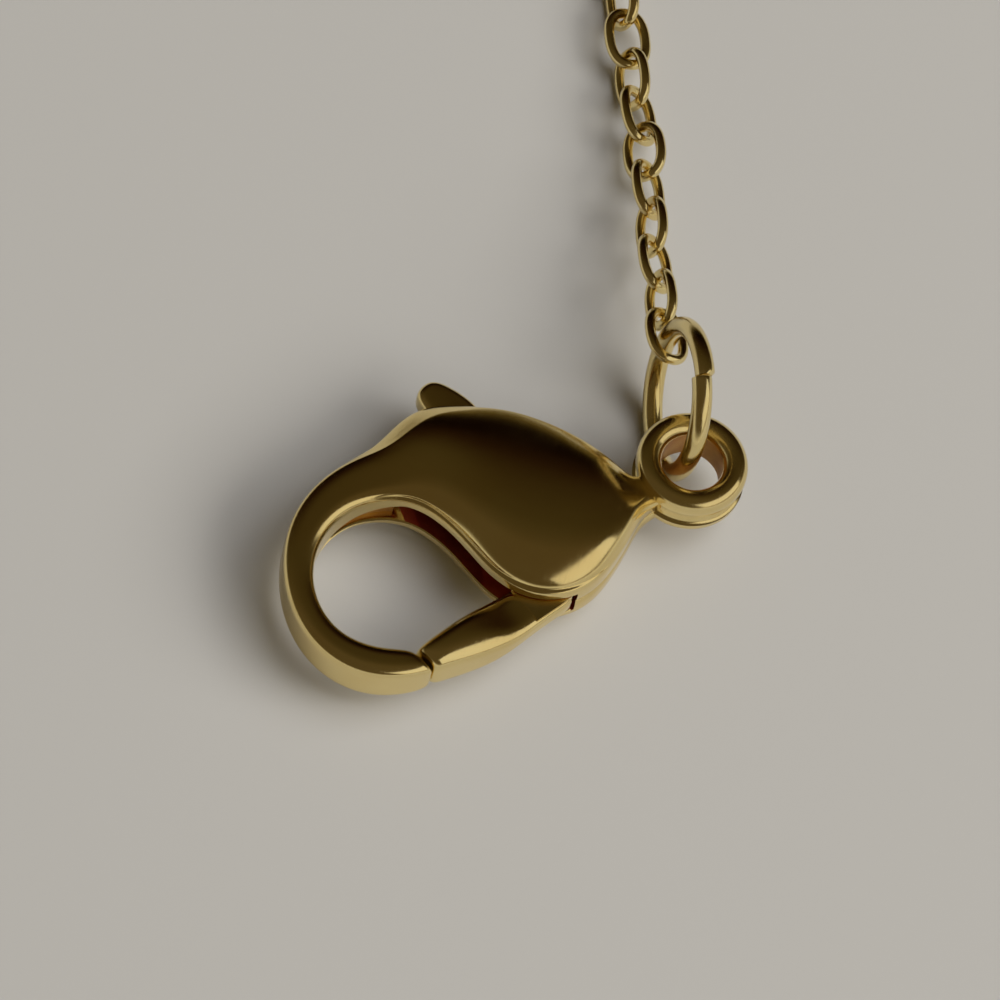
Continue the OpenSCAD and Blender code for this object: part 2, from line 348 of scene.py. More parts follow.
def markWear(piece):
    # how far each vertex stands out from its neighbours, for the rubbed edges
    mesh = piece.data
    sums = [0.0] * len(mesh.vertices)
    counts = [0] * len(mesh.vertices)
    for edge in mesh.edges:
        first, second = (mesh.vertices[index] for index in edge.vertices)
        line = second.co - first.co
        if line.length > 0:
            line.normalize()
            sums[first.index] -= line.dot(first.normal)
            sums[second.index] += line.dot(second.normal)
            counts[first.index] += 1
            counts[second.index] += 1
    attribute = mesh.attributes.new("wear", "FLOAT", "POINT")
    for index, item in enumerate(attribute.data):
        standsOut = wearing["gain"] * sums[index] / max(1, counts[index]) - wearing["floor"]
        item.value = min(1.0, max(0.0, standsOut))


def dress(piece, nodes, body="necklace", sharp=40):
    markWear(piece)
    choose(piece)
    bpy.ops.object.shade_smooth_by_angle(angle=math.radians(sharp))
    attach(piece, body)
    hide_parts(*nodes)


# Clasp. Its own frame has the eye in the middle and the hook towards -X

clasp = {
    "eyeAt": (66.0, -6.5),
    "middleHeight": 1.3,
    "turn": 45.0,
    # outer x, outer y, inner x, inner y, half thickness at the rim and at the crown, ledge
    "rows": [
        [-8.72, -2.14, -8.92, -1.42, 0.55, 0.58, 0],
        [-9.25, -2.06, -9.24, -1.22, 0.60, 0.64, 0],
        [-9.87, -1.86, -9.62, -1.00, 0.60, 0.66, 0],
        [-10.46, -1.44, -9.95, -0.70, 0.60, 0.66, 0],
        [-10.88, -0.86, -10.22, -0.34, 0.60, 0.66, 0],
        [-11.12, -0.14, -10.38, 0.12, 0.60, 0.66, 0],
        [-11.14, 0.66, -10.40, 0.62, 0.60, 0.66, 0],
        [-10.96, 1.47, -10.28, 1.20, 0.60, 0.66, 0],
        [-10.58, 2.27, -9.98, 1.75, 0.60, 0.66, 0],
        [-10.02, 2.97, -9.53, 2.22, 0.60, 0.67, 0],
        [-9.32, 3.48, -8.97, 2.53, 0.61, 0.68, 0],
        [-8.52, 3.79, -8.36, 2.66, 0.62, 0.70, 0],
        [-7.72, 3.92, -7.76, 2.58, 0.64, 0.74, 0.02],
        [-7.02, 3.97, -7.22, 2.34, 0.66, 0.80, 0.08],
        [-6.43, 4.20, -6.80, 1.96, 0.66, 0.88, 0.14],
        [-5.74, 4.46, -6.52, 1.42, 0.66, 0.98, 0.16],
        [-5.05, 4.42, -6.34, 0.78, 0.66, 1.09, 0.16],
        [-4.40, 4.08, -6.24, 0.12, 0.66, 1.19, 0.15],
        [-3.80, 3.72, -6.10, -0.55, 0.66, 1.27, 0.14],
        [-3.28, 3.31, -5.76, -1.20, 0.66, 1.30, 0.14],
        [-2.83, 2.85, -5.20, -1.67, 0.66, 1.30, 0.13],
        [-2.43, 2.35, -4.48, -1.87, 0.66, 1.27, 0.12],
        [-2.10, 1.82, -3.74, -1.78, 0.66, 1.18, 0.10],
        [-1.86, 1.33, -3.05, -1.45, 0.65, 1.05, 0.08],
        [-1.72, 0.96, -2.42, -1.05, 0.63, 0.92, 0.05],
        [-1.62, 0.64, -1.94, -0.70, 0.60, 0.74, 0.02],
        [-1.50, 0.44, -1.56, -0.52, 0.57, 0.62, 0],
        [-1.28, 0.40, -1.26, -0.50, 0.52, 0.57, 0],
        [-1.00, 0.42, -0.98, -0.50, 0.42, 0.46, 0],
    ],
    "shell": {
        "fullRise": 0.2,       # crown over rim at which the shell's own edge is reached
        "fullLedge": 0.13,
        "hookEdge": 0.3,
        "hookInnerEdge": 0.34,
        "hookReach": 0.42,     # the hook's two edges keep within these shares of the width
        "hookInnerReach": 0.45,
        "corner": 0.06,
        "edgeDrop": 0.05,      # upper and lower line of the outer edge, under the rim
        "sideDrop": 0.2,
        "bevelPoint": (0.25, 0.35),    # where the edge bends, as shares of its width and height
        "bevelTurn": 0.02,     # these two round its corner
        "bevelDip": 0.015,
        # how far along each side the profile has its points
        "outerStations": (0.16, 0.38, 0.66, 1.0),
        "innerStations": (0.1, 0.32, 0.62, 1.0),
        "innerEdge": ((0, -0.25), (0.01, -0.06), (0.06, 0)),    # distance, and height over the rim
        "foot": 0.1,
        "footPerLedge": 0.45,
        "footTurn": (0.01, 0.02),
        "outerRun": 0.56,      # share of the width over which each side rises
        "innerRun": 0.30,
        "outerBend": 2.5,
        "broadBend": 1.4,
        "skirt": 0.08,         # step at the foot of the pillow's inner side
        "innerBend": 2.3,
        # what the outer edge gains where it is broadest, behind the hook: width, height, drop
        "broadCorner": 0.56,
        "broadRise": 0.25,
        "broadDrop": 0.05,
        "broadRows": 3.4,
    },
    "broadAt": 14.8,
    "endRounding": [(0.0, 0.5), (0.03, 0.76), (0.16, 0.92), (0.42, 1.0)],
    "grooveFrom": 20,      # the parting groove starts at this row
    "groove": {"depth": 0.13, "level": -0.09, "half": 0.09},
    "slotHalf": 0.38,
    "flare": (0.05, 0.03),
    "wall": 0.34,
    "cutFrom": 9.4,        # a shallow cut leads into the hollow
    "cutStep": 0.2,
    "cutRings": 74,
    "cutDepth": (0.06, 0.30),      # where it starts, and at the hollow
    "cutMouth": 0.02,      # its height where it starts
    "cutEdge": 0.05,       # the cut's polished floor and its walls with painted brown shade end this far before the hollow's painted deep red shade
    "reach": 0.5,          # how far the cut goes past the open sides
    "reachPast": 0.01,
    "flareNormals": (0.2, 0.97),   # faces that slope like this are polished like the outside
    "wallNormal": 0.5,
    "hollowRows": (13.4, 24.0),
    "backOpen": (14.8, 21.9),
    "frontOpenUntil": 21.1,
    "through": 1,          # cutters reach this far over and under the middle
    "levels": 2,
}
claspPlace = (toMetres @ Matrix.Translation((*clasp["eyeAt"], clasp["middleHeight"]))
              @ Matrix.Rotation(math.radians(clasp["turn"]), 4, "Z"))


def arc(run, low, high, steps):
    # a quarter ellipse from an upright edge to a level top, as distance and height
    angles = [math.pi / 2 * step / steps for step in range(steps + 1)]
    return [(run * (1 - math.cos(a)), low + (high - low) * math.sin(a)) for a in angles]


def between(first, second, share):
    return [a + (b - a) * share for a, b in zip(first, second)]


def rising(start, end, low, high, bend, stations):
    # points that climb fast at first and then level out
    return [(start + (end - start) * s, low + (high - low) * (1 - (1 - s) ** bend)) for s in stations]


def topProfile(width, rim, crown, ledge, broad):
    # over the top from the outer edge to the inner one, as distance and height
    shell = clasp["shell"]
    rise = crown - rim
    cornerAt = shell["corner"] + shell["broadCorner"] * broad
    cornerHigh = rim - shell["edgeDrop"] + shell["broadRise"] * broad
    low = rim - shell["sideDrop"] - shell["broadDrop"] * broad
    run = shell["outerRun"] * width
    bendAcross, bendUp = shell["bevelPoint"]
    turn = shell["bevelTurn"]
    shellSide = [(0, low), (bendAcross * cornerAt, low + bendUp * (cornerHigh - low)),
                 (cornerAt - turn, cornerHigh - shell["bevelDip"]), (cornerAt + turn, cornerHigh + turn)]
    bend = shell["outerBend"] + shell["broadBend"] * broad
    shellSide += rising(cornerAt, run, cornerHigh, crown, bend, shell["outerStations"])
    edge = min(shell["hookReach"] * width, shell["hookEdge"])
    hookSide = arc(edge, rim - shell["sideDrop"], crown, len(shellSide) - 1)
    swell = min(1.0, rise / shell["fullRise"])
    outer = [between(first, second, swell) for first, second in zip(hookSide, shellSide)]

    foot = shell["foot"] + shell["footPerLedge"] * ledge
    skirt = rim + shell["skirt"]
    run = shell["innerRun"] * width
    before, after = shell["footTurn"]
    shellSide = [(distance, rim + height) for distance, height in shell["innerEdge"]]
    shellSide += [(foot - before, rim), (foot + after, skirt)]
    shellSide += rising(foot, run, skirt, crown, shell["innerBend"], shell["innerStations"])
    edge = min(shell["hookInnerReach"] * width, shell["hookInnerEdge"])
    hookSide = arc(edge, rim - shell["sideDrop"], crown, len(shellSide) - 1)
    share = min(1.0, ledge / shell["fullLedge"])
    inner = [between(first, second, share) for first, second in zip(hookSide, shellSide)]
    middle = [((outer[-1][0] + width - inner[-1][0]) / 2, crown)]
    return outer + middle + [(width - distance, height) for distance, height in reversed(inner)]


def sectionRing(row, groove=0.0, broad=0.0, shrink=1.0):
    outer = Vector((row[0], row[1], 0))
    inner = Vector((row[2], row[3], 0))
    width = (inner - outer).length
    along = (inner - outer) / width
    top = topProfile(width, *row[4:], broad)
    level, half = (clasp["groove"][name] * row[4] for name in ("level", "half"))
    cut = [(0, level + half), (groove, level), (0, level - half)]
    ring = (top + [(width - distance, height) for distance, height in cut]
            + [(distance, -height) for distance, height in reversed(top)]
            + [(distance, height) for distance, height in reversed(cut)])
    narrow = (1 + shrink) / 2
    ring = [((distance - width / 2) * narrow + width / 2, height * shrink) for distance, height in ring]
    return [outer + along * distance + Vector((0, 0, height)) for distance, height in ring]


def loftRows(name, rows, levels, groovedFrom=math.inf, broadAt=-math.inf):
    # each end gets a few rings more, which round it off
    def endRings(first, second):
        places = clasp["endRounding"]
        return [sectionRing(between(first, second, place), shrink=shrink) for place, shrink in places]

    rings = [sectionRing(row, clasp["groove"]["depth"] if index >= groovedFrom else 0.0,
                         max(0.0, 1 - abs(index - broadAt) / clasp["shell"]["broadRows"]))
             for index, row in enumerate(rows)]
    start = endRings(rows[0], rows[1])
    end = endRings(rows[-1], rows[-2])
    return wrapRings(name, start + rings[1:-1] + end[::-1], levels, claspGold)


def splineWeights(t):
    # shares, in sixths, of four points that follow each other on a smooth line
    return (1 - t) ** 3, 3 * t ** 3 - 6 * t * t + 4, -3 * t ** 3 + 3 * t * t + 3 * t + 1, t ** 3


def splineRow(rows, place):
    # the smooth line through the rows that the subdivided shell follows too
    padded = [rows[0], rows[0], *rows, rows[-1], rows[-1]]
    almostOne = 0.9999
    place = min(max(place + 1, 0), len(padded) - 4 + almostOne)
    index = int(place)
    weights = splineWeights(place - index)
    return [sum(w * padded[index + k][i] for k, w in enumerate(weights)) / 6 for i in range(len(rows[0]))]


def makeHollow():
    # the slot between the two plates, open to the front and partly to the back
    flareRun, flareRise = clasp["flare"]
    shallow, deep = clasp["cutDepth"]
    reach, cutFrom, cutStep = clasp["reach"], clasp["cutFrom"], clasp["cutStep"]
    slotHalf, deepFrom = clasp["slotHalf"], clasp["hollowRows"][0]
    rings = []
    for step in range(clasp["cutRings"]):
        station = cutFrom + cutStep * step
        row = splineRow(clasp["rows"], station)
        outer, inner = Vector((*row[0:2], 0)), Vector((*row[2:4], 0))
        along = (inner - outer).normalized()
        share = min(1.0, (station - cutFrom) / (deepFrom - cutFrom))
        topHalf = slotHalf * (2 * share - 1) + clasp["cutMouth"] * (1 - share)
        backOpen = clasp["backOpen"][0] < station < clasp["backOpen"][1]
        frontOpen = station < clasp["frontOpenUntil"]
        back = outer if backOpen else outer + along * clasp["wall"]
        if station < deepFrom:
            back = inner - along * (shallow + (deep - shallow) * share)
        front = inner if frontOpen else inner - along * clasp["wall"]
        beyond = front + along * (reach * frontOpen + clasp["reachPast"])
        line = [(back - along * (reach * backOpen), flareRise * backOpen), (back, flareRise * backOpen),
                (back + along * flareRun, 0), (front - along * flareRun, 0),
                (front, flareRise * frontOpen), (beyond, flareRise * frontOpen)]
        rings.append([point + Vector((0, 0, topHalf + extra)) for point, extra in line]
                     + [point - Vector((0, 0, slotHalf + extra)) for point, extra in reversed(line)])
    deepAt = rings[round((deepFrom - cutFrom) / cutStep)][0].x - clasp["cutEdge"]
    hollow = wrapRings("hollow", rings, 0, hollowShadeGold)
    hollow.data.materials.append(claspGold)
    hollow.data.materials.append(cutShadeGold)
    steepest, flattest = clasp["flareNormals"]
    # inside the hollow, painted deep red shade except on the polished flare; in the shallow cut, painted
    # brown shade on the walls and polish on the floor
    for face in hollow.data.polygons:
        face.material_index = int(steepest < abs(face.normal.z) < flattest)
        if face.center.x < deepAt:
            face.material_index = 2 if abs(face.normal.z) < clasp["wallNormal"] else 1
    return hollow


eye = {
    "radius": 1.41,
    "holeRadius": 0.78,
    "at": (0.0, 0.05),
    "low": -0.46,
    "high": 0.88,
    "rounding": 0.3,
    "cornerSteps": 7,
    "grooveHeight": 0.19,
    "grooveHalf": 0.27,
    "grooveDepth": 0.13,
    # the groove's line: share of its depth, share of its half height
    "grooveLine": (
        (0, -1), (0.5, -0.92), (0.85, -0.7), (1, -0.3), (1, 0.3), (0.85, 0.7), (0.5, 0.92), (0, 1),
    ),
    "shadeBelow": 0.62,      # inside the hole, below this height, the walls get painted brown shade
    "shadeInset": 0.06,
    "neckClearance": 0.05,
    "steps": 96,
}


def eyeSection():
    # distance from the middle and height, round one side of the eye
    corner, steps = eye["rounding"], eye["cornerSteps"]
    inner, outer = eye["holeRadius"] + corner, eye["radius"] - corner
    low, high = eye["low"] + corner, eye["high"] - corner
    points = []
    for x, z, start in ((outer, high, 0), (inner, high, 90), (inner, low, 180), (outer, low, 270)):
        for step in range(steps + 1):
            angle = math.radians(start + 90 * step / steps)
            points.append((x + corner * math.cos(angle), z + corner * math.sin(angle)))
    half, depth = eye["grooveHalf"], eye["grooveDepth"]
    for across, up in eye["grooveLine"]:
        points.append((eye["radius"] - depth * across, eye["grooveHeight"] + half * up))
    return points


def spinSection(name, section, steps, material):
    deselectAll()
    bpy.ops.mesh.primitive_circle_add(vertices=len(section), radius=1, fill_type="NOTHING")
    piece = bpy.context.object
    piece.name = name
    piece.data.materials.append(material)
    for vertex, (x, z) in zip(piece.data.vertices, section):
        vertex.co = (x, 0, z)
    pickAll(piece)
    bpy.ops.mesh.spin(steps=steps, angle=2 * math.pi, center=(0, 0, 0), axis=(0, 0, 1))
    bpy.ops.mesh.select_all(action="SELECT")
    bpy.ops.mesh.remove_doubles(threshold=weld["spin"])
    bpy.ops.mesh.normals_make_consistent(inside=False)
    done()
    return piece


def makeEye():
    piece = spinSection("eye", eyeSection(), eye["steps"], claspGold)
    piece.data.materials.append(cutShadeGold)
    reach = eye["holeRadius"] + eye["shadeInset"]
    # faces low inside the hole get the painted brown shade
    for face in piece.data.polygons:
        inside = face.center.xy.length < reach and face.center.z < eye["shadeBelow"]
        face.material_index = int(inside)
    placePiece(piece, Matrix.Translation((*eye["at"], 0)))
    return piece


claspBody = loftRows("claspBody", clasp["rows"], clasp["levels"], clasp["grooveFrom"], clasp["broadAt"])
hollow = makeHollow()
combine(claspBody, hollow, "DIFFERENCE")
hole = addCylinder("hole", eye["holeRadius"] + eye["neckClearance"], -clasp["through"], clasp["through"],
                   claspGold, eye["at"], eye["steps"])
combine(claspBody, hole, "DIFFERENCE")
combine(claspBody, makeEye(), "UNION")
pickAll(claspBody)
bpy.ops.mesh.remove_doubles(threshold=weld["sliver"])   # closes the slivers that the cuts leave
done()
placePiece(claspBody, claspPlace)
dress(claspBody, ["clasp_body"])
print("clasp body:", len(claspBody.data.polygons), "faces")


# Lever, in the clasp's frame: gate, hub and thumb tab in one piece

lever = {
    "rows": [
        [-8.66, -2.12, -8.86, -1.40, 0.50, 0.60, 0],
        [-8.15, -2.18, -8.24, -1.26, 0.52, 0.69, 0],
        [-7.50, -2.26, -7.52, -1.13, 0.50, 0.68, 0],
        [-6.95, -2.28, -7.00, -1.05, 0.44, 0.58, 0],
        [-6.50, -2.25, -6.60, -1.00, 0.36, 0.43, 0],
        [-6.10, -2.18, -6.24, -0.96, 0.31, 0.32, 0],
        [-5.60, -2.06, -5.75, -0.90, 0.31, 0.32, 0],
        [-5.10, -1.97, -5.20, -0.85, 0.31, 0.32, 0],
        [-4.50, -1.87, -4.42, -0.95, 0.31, 0.32, 0],
    ],
    "half": 0.33,
    "hair": 0.001,         # keeps faces that would lie in one plane apart
    "edge": 0.18,
    "edgeSegments": 5,
    "edgeAngle": 50,
    "pivot": (-3.95, -0.8),
    "hubRadius": 0.62,
    "boreRadius": 0.31,
    "arm": [
        (-4.52, -0.60), (-5.05, 3.30), (-5.16, 4.20), (-5.21, 4.76), (-5.08, 5.00), (-4.74, 5.12),
        (-4.44, 5.02), (-4.12, 4.50), (-3.90, 3.95), (-3.94, 3.30), (-3.36, -0.60),
    ],
    "root": [
        (-5.80, -0.96), (-5.00, -0.62), (-4.40, -0.35), (-4.00, -1.36), (-4.40, -1.50), (-4.52, -1.78),
        (-4.90, -1.86), (-5.30, -1.93), (-5.65, -1.99),
    ],
}


def roundedOutline(points, steps=6):
    # a smooth closed line drawn by these points
    count = len(points)
    line = []
    for index in range(count):
        near = [points[(index + offset) % count] for offset in range(4)]
        for step in range(steps):
            weights = splineWeights(step / steps)
            line.append(tuple(sum(w * point[axis] for w, point in zip(weights, near)) / 6 for axis in (0, 1)))
    return line


def makeLever():
    half, hair, through = lever["half"], lever["hair"], clasp["through"]
    arm = cutPlate("arm", roundedOutline(lever["arm"]), -half, half, claspGold)
    modify(arm, "BEVEL", width=lever["edge"], segments=lever["edgeSegments"], limit_method="ANGLE",
           angle_limit=math.radians(lever["edgeAngle"]))
    root = cutPlate("root", lever["root"], -half + hair, half - hair, claspGold)
    hub = addCylinder("hub", lever["hubRadius"], -half - hair, half + hair, claspGold, lever["pivot"])
    gate = loftRows("gate", lever["rows"], clasp["levels"])
    combine(hub, arm, "UNION")
    combine(hub, root, "UNION")
    combine(gate, hub, "UNION")
    bore = addCylinder("bore", lever["boreRadius"], -through, through, claspGold, lever["pivot"])
    combine(gate, bore, "DIFFERENCE")
    gate.name = "leverPiece"
    return gate


leverPiece = makeLever()
placePiece(leverPiece, claspPlace)
dress(leverPiece, ["lever"], body="lever", sharp=35)
frame["nodes"]["pivot_pin"].data.materials.clear()
frame["nodes"]["pivot_pin"].data.materials.append(claspGold)
print("lever:", len(leverPiece.data.polygons), "faces")


# Rings and links

ring = {
    "radius": 1.82,
    "wire": 0.255,
    "cut": 1.6,            # degrees
    "cutAt": -170.0,
    "spring": 0.09,        # how far the two ends stand apart sideways
    "endEdge": 0.03,
    "endSegments": 2,
    "endAngle": 60,
    "gap": 0.05,           # between the end ring's wire and the end link
    "at": (0.55, 1.73, 2.045),   # from the eye, in the clasp's frame, height over the table
    "turn": -23.2,
    "tilt": 100.2,
    "steps": 120,
    "sides": 24,
}


def makeRing(name, cut):
    # a wire circle spun round the ring's middle
    deselectAll()
    bpy.ops.mesh.primitive_circle_add(vertices=ring["sides"], radius=ring["wire"],
                                      location=(ring["radius"], 0, 0), rotation=(math.pi / 2, 0, 0),
                                      fill_type="NGON" if cut else "NOTHING")
    piece = bpy.context.object
    piece.name = name
    piece.data.materials.append(wireGold)
    placePiece(piece, piece.matrix_world.copy())
    pickAll(piece)
    bpy.ops.mesh.spin(steps=ring["steps"], angle=math.radians(360 - cut), center=(0, 0, 0), axis=(0, 0, 1))
    bpy.ops.mesh.select_all(action="SELECT")
    bpy.ops.mesh.remove_doubles(threshold=weld["spin"])
    bpy.ops.mesh.normals_make_consistent(inside=False)
    done()
    return piece


def makeJumpRing():
    piece = makeRing("jumpRing", ring["cut"])
    for vertex in piece.data.vertices:   # cut from a coil, so its ends don't quite meet
        turned = math.atan2(vertex.co.y, vertex.co.x) % (2 * math.pi) / (2 * math.pi)
        vertex.co.z += ring["spring"] * (turned - 0.5)
    modify(piece, "BEVEL", width=ring["endEdge"], segments=ring["endSegments"], limit_method="ANGLE",
           angle_limit=math.radians(ring["endAngle"]))
    placePiece(piece, Matrix.Rotation(math.radians(ring["cutAt"] + ring["cut"] / 2), 4, "Z"))
    turn = Matrix.Rotation(math.radians(ring["turn"]), 4, "Z")
    tilt = Matrix.Rotation(math.radians(ring["tilt"]), 4, "Y")
    toClasp = Matrix.Translation((0, 0, -clasp["middleHeight"])) @ Matrix.Translation(ring["at"])
    placePiece(piece, claspPlace @ toClasp @ turn @ tilt)
    return piece


jumpRing = makeJumpRing()
dress(jumpRing, ["jump_ring"])
print("jump ring made")

link = {
    "length": 1.79,
    "width": 1.22,
    "wire": 0.27,
    "fullness": 2.4,       # 2 would be an ellipse
    "facets": (48, 20),    # round the link, and round its wire
    "lift": 0.01,          # the end link stands this high over the table
    # x and y from the middle of the eye, height of the middle, roll about the chain's line
    "near": [
        (-1.56, 3.42, 1.80, 24), (-1.95, 4.54, 1.55, -64), (-2.35, 5.65, 1.31, 42),
        (-2.70, 6.78, 1.10, -63), (-3.06, 7.92, 0.93, 44), (-3.43, 9.06, 0.78, -38),
        (-3.84, 10.12, 0.65, 39), (-4.26, 11.14, 0.59, -58), (-4.68, 12.26, 0.59, 8),
        (-5.11, 13.38, 0.59, -62), (-5.54, 14.51, 0.57, 30), (-5.97, 15.62, 0.52, -48),
    ],
}


def makeLink(name, around, sides):
    # a torus drawn out into an oval, its wire kept round
    deselectAll()
    bpy.ops.mesh.primitive_torus_add(major_segments=around, minor_segments=sides, major_radius=1,
                                     minor_radius=link["wire"] / 2)
    piece = bpy.context.object
    piece.name = name
    piece.data.materials.append(wireGold)
    halfLength, halfWidth = (link["length"] - link["wire"]) / 2, (link["width"] - link["wire"]) / 2
    bend = link["fullness"]
    for vertex in piece.data.vertices:
        spot = vertex.co.xy.normalized()
        away = vertex.co.xy.length - 1
        spot = Vector([math.copysign(abs(share) ** (2 / bend), share) for share in spot])
        side = Vector([math.copysign(abs(share) ** (bend - 1), share) for share in spot])
        side = Vector((side.x / halfLength, side.y / halfWidth)).normalized() * away
        vertex.co.xy = (spot.x * halfLength + side.x, spot.y * halfWidth + side.y)
    return piece


def linkPlace(middle, line, roll):
    line = line.normalized()
    heading = math.atan2(line.y, line.x)
    slope = math.asin(line.z)
    return (toMetres @ Matrix.Translation(middle) @ Matrix.Rotation(heading, 4, "Z")
            @ Matrix.Rotation(-slope, 4, "Y") @ Matrix.Rotation(math.radians(roll), 4, "X"))


def copyPiece(piece, name):
    copy = piece.copy()
    copy.data = piece.data.copy()
    copy.name = name
    bpy.context.collection.objects.link(copy)
    return copy


linkModel = makeLink("linkModel", *link["facets"])
middles = [Vector((clasp["eyeAt"][0] + x, clasp["eyeAt"][1] + y, z)) for x, y, z, roll in link["near"]]
for index, row in enumerate(link["near"]):
    line = middles[min(index + 1, len(middles) - 1)] - middles[max(index - 1, 0)]
    nearLink = copyPiece(linkModel, f"nearLink{index + 1:02d}")
    placePiece(nearLink, linkPlace(middles[index], line, row[3]))
    dress(nearLink, [f"link_{index + 1:02d}"])
print("near links:", len(middles))


# The rest of the chain, along a smooth line through these points

chain = {
    "route": [
        (59.70, 10.00), (58.2, 13.9), (55.0, 21.5), (46.5, 34.0), (28.0, 49.5), (4.0, 56.68),
        (-22.0, 54.5), (-46.5, 42.5), (-62.0, 22.5), (-66.96, -2.5), (-60.0, -27.0), (-43.0, -46.5),
        (-19.5, -56.5), (4.0, -54.5), (23.0, -43.0), (34.5, -28.0), (41.3, -19.4),
    ],
    "pitch": 1.2,
    "facets": (12, 5),     # as coarse as so many small links allow
    "roll": 45,            # each link is turned this far, to one side and then to the other
    "turnLinks": 10,       # so many of the last links turn flat and rise to the end link's height
    "height": 0.47,
    "endHeight": 0.62,
    "endHeading": 51.7,
    "endGap": 0.12,
}


def routePoints(steps=60):
    knots = [Vector(point) for point in chain["route"]]
    knots = [2 * knots[0] - knots[1], *knots, 2 * knots[-1] - knots[-2]]
    points = []
    for a, b, c, d in zip(knots, knots[1:], knots[2:], knots[3:]):
        for step in range(steps):
            t = step / steps
            points.append(0.5 * (2 * b + (c - a) * t + (2 * a - 5 * b + 4 * c - d) * t * t
                                 + (3 * b - a - 3 * c + d) * t ** 3))
    return points + [knots[-2]]


def pointAlong(points, lengths, distance):
    for index in range(1, len(points)):
        if lengths[index] >= distance:
            span = lengths[index] - lengths[index - 1]
            return points[index - 1].lerp(points[index], (distance - lengths[index - 1]) / span)
    over = points[-1] - points[-2]
    return points[-1] + over.normalized() * (distance - lengths[-1])


def makeChain():
    heading = math.radians(chain["endHeading"])
    endLine = Vector((math.cos(heading), math.sin(heading)))
    endAt = Vector(chain["route"][-1]) + endLine * (link["length"] / 2 + chain["endGap"])
    points = [middles[-1].xy, *routePoints(), endAt]
    lengths = [0.0]
    for first, second in zip(points, points[1:]):
        lengths.append(lengths[-1] + (second - first).length)
    count = math.ceil(lengths[-1] / chain["pitch"])
    pitch = lengths[-1] / count
    model = makeLink("farLinkModel", *chain["facets"])
    endSide = 1 if (count - 1) % 2 == 0 else -1
    copies = []
    for index in range(1, count):
        here = pointAlong(points, lengths, index * pitch)
        ahead = pointAlong(points, lengths, (index + 0.5) * pitch)
        behind = pointAlong(points, lengths, (index - 0.5) * pitch)
        nearEnd = max(0.0, 1 - (count - 1 - index) / chain["turnLinks"])
        side = 1 if index % 2 else -1
        roll = chain["roll"] * side + chain["roll"] * nearEnd * endSide
        height = chain["height"] + (chain["endHeight"] - chain["height"]) * nearEnd
        line = ahead - behind
        copy = copyPiece(model, "farLink")
        copy.matrix_world = linkPlace(Vector((here.x, here.y, height)), Vector((line.x, line.y, 0)), roll)
        copies.append(copy)
    bpy.data.objects.remove(model)
    choose(copies[0], *copies[1:])
    bpy.ops.object.join()
    piece = bpy.context.object
    piece.name = "farChain"
    placePiece(piece, piece.matrix_world.copy())
    return piece, count, pitch, endAt, endLine


farChain, linkCount, pitch, endAt, endLine = makeChain()
dress(farChain, ["chain"])
print("far links:", linkCount - 1, "pitch", round(pitch, 3))

lift = link["width"] / 2 + link["lift"]
endLink = copyPiece(linkModel, "endLink")
placePiece(endLink, linkPlace(Vector((*endAt, lift)), Vector((*endLine, 0)), 90))
dress(endLink, ["end_link"])
bpy.data.objects.remove(linkModel)

hold = link["length"] / 2 - link["wire"] - ring["wire"] - ring["gap"]
lean = math.asin((lift - ring["wire"]) / (2 * ring["radius"]))
ringAt = endAt + endLine * (hold + ring["radius"] * math.cos(lean))
endRing = makeRing("endRing", 0)
placePiece(endRing, toMetres @ Matrix.Translation((*ringAt, (lift + ring["wire"]) / 2))
           @ Matrix.Rotation(math.radians(chain["endHeading"]), 4, "Z") @ Matrix.Rotation(lean, 4, "Y"))
dress(endRing, ["end_ring"])
print("end link and end ring made")


# Floor, light and camera

stage = {
    "floorColour": (0.60, 0.59, 0.57, 1),
    "floorRoughness": 0.75,
    "floorSize": 6,
    "lookAt": (0.06165, -0.00799, 0.0),
    "elevation": 60.0,
    "roll": 17.0,
    "distance": 0.3,
    "frameWidth": 0.025,   # how wide the picture is at the clasp, metres
    "sensor": 36,
    "clip": (0.01, 20),
}


room = {
    "strength": 1.0,
    "darkTowards": (-0.196, 0.981, 0.0),
    # from overhead to behind the table
    "ceiling": [(0.0, (0.082, 0.060, 0.028)), (0.35, (0.055, 0.040, 0.015)), (0.5, (0.045, 0.032, 0.011)),
                (0.75, (0.017, 0.0075, 0.003)), (0.9, (0.004, 0.0015, 0.0005)),
                (1.0, (0.003, 0.001, 0.0003))],
    # from the table's edge upwards
    "walls": [(0.0, (0.62, 0.60, 0.55)), (0.12, (0.58, 0.55, 0.48)), (0.30, (0.34, 0.31, 0.22)),
              (0.42, (0.10, 0.08, 0.05))],
    "wallTop": (0.06, 0.26),
    "lowBehind": [(0.0, (0.12, 0.09, 0.03)), (0.087, (0.082, 0.058, 0.015)), (0.17, (0.02, 0.012, 0.003)),
                  (0.30, (0.003, 0.001, 0.0003))],
    "behind": (0.25, 0.6),
}

# azimuth from +X towards +Y; only the window shows in the polish
softboxes = [
    {"name": "window", "azimuth": -16, "elevation": 34, "distance": 0.7, "size": (0.95, 0.48),
     "power": 0.95, "colour": (1.0, 0.97, 0.90), "mirrored": True},
    {"name": "windowGlow", "azimuth": -14, "elevation": 34, "distance": 0.7, "size": (0.72, 0.30),
     "power": 2.9, "colour": (1.0, 0.97, 0.90), "mirrored": False},
    {"name": "skyGlow", "azimuth": 20, "elevation": 62, "distance": 0.9, "size": (0.7, 0.7),
     "power": 3.8, "colour": (0.97, 0.98, 1.0), "mirrored": False},
]


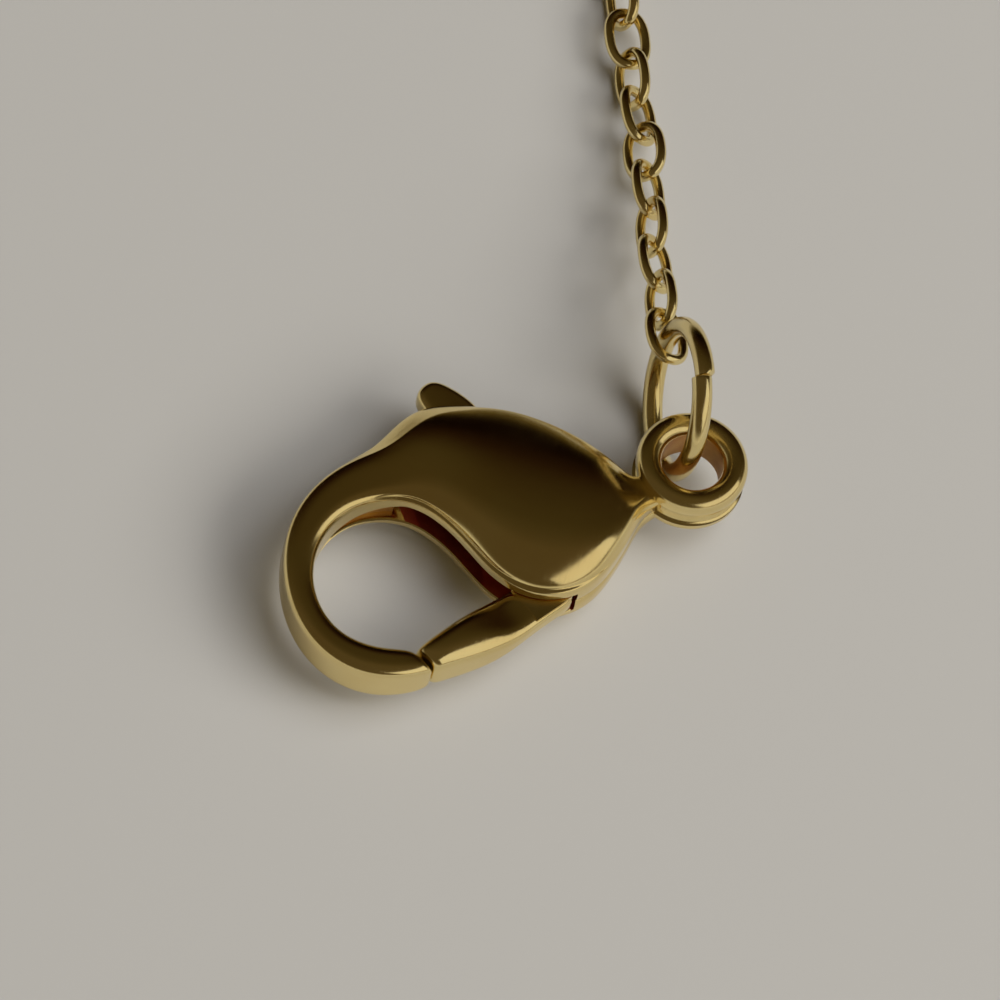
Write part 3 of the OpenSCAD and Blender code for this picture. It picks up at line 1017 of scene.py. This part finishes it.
def makeFloor():
    deselectAll()
    bpy.ops.mesh.primitive_plane_add(size=stage["floorSize"])
    floor = bpy.context.object
    floor.name = "floor"
    material = bpy.data.materials.new("paleFloor")
    material.use_nodes = True
    finish = Finish(material.node_tree)
    surface = finish.node("ShaderNodeBsdfPrincipled", {}, {
        "Base Color": stage["floorColour"], "Roughness": stage["floorRoughness"]})
    finish.node("ShaderNodeOutputMaterial", {}, {"Surface": surface})
    floor.data.materials.append(material)


def makeWorld():
    # a pale room under a dim, warm ceiling, darkest behind: this is what the polish mirrors
    world = bpy.data.worlds.new("room")
    bpy.context.scene.world = world
    world.use_nodes = True
    finish = Finish(world.node_tree)
    direction = finish.node("ShaderNodeTexCoord", {}, [], output=0)
    height = finish.node("ShaderNodeSeparateXYZ", {}, [direction], output=2)
    backwards = finish.node("ShaderNodeVectorMath", {"operation": "DOT_PRODUCT"},
                            {0: direction, 1: room["darkTowards"]}, output=1)
    ceiling = finish.node("ShaderNodeValToRGB", {"stops": room["ceiling"]}, [backwards.clipped()])
    walls = finish.node("ShaderNodeValToRGB", {"stops": room["walls"]}, [height])
    lowBehind = finish.node("ShaderNodeValToRGB", {"stops": room["lowBehind"]}, [height])
    walls = finish.blend(finish.band(backwards, *room["behind"]), walls, lowBehind)
    colour = finish.blend(finish.band(height, *room["wallTop"]), walls, ceiling)
    surface = finish.node("ShaderNodeBackground", {}, {"Color": colour, "Strength": room["strength"]})
    finish.node("ShaderNodeOutputWorld", {}, {"Surface": surface})


def addSoftbox(name, azimuth, elevation, distance, size, power, colour, mirrored):
    # aimed at the clasp
    a, e = math.radians(azimuth), math.radians(elevation)
    away = Vector((math.cos(a) * math.cos(e), math.sin(a) * math.cos(e), math.sin(e)))
    deselectAll()
    bpy.ops.object.light_add(type="AREA", location=Vector(stage["lookAt"]) + away * distance)
    softbox = bpy.context.object
    softbox.name = name
    softbox.rotation_euler = away.to_track_quat("Z", "Y").to_euler()
    softbox.data.shape = "RECTANGLE"
    softbox.data.size, softbox.data.size_y = size
    softbox.data.energy = power
    softbox.data.color = colour
    softbox.visible_glossy = mirrored


def makeCamera():
    e, r = math.radians(stage["elevation"]), math.radians(stage["roll"])
    across = Vector((1, 0, 0))
    up = Vector((0, math.sin(e), math.cos(e)))
    back = Vector((0, -math.cos(e), math.sin(e)))
    right = across * math.cos(r) + up * math.sin(r)
    top = up * math.cos(r) - across * math.sin(r)
    deselectAll()
    bpy.ops.object.camera_add()
    camera = bpy.context.object
    turned = Matrix((right, top, back)).transposed().to_4x4()
    camera.matrix_world = Matrix.Translation(Vector(stage["lookAt"]) + back * stage["distance"]) @ turned
    camera.data.sensor_width = stage["sensor"]
    camera.data.lens = stage["sensor"] * stage["distance"] / stage["frameWidth"]
    camera.data.clip_start, camera.data.clip_end = stage["clip"]
    bpy.context.scene.camera = camera


makeFloor()
makeWorld()
for softbox in softboxes:
    addSoftbox(**softbox)
makeCamera()
bpy.context.scene.view_settings.view_transform = "Standard"
print("stage set")
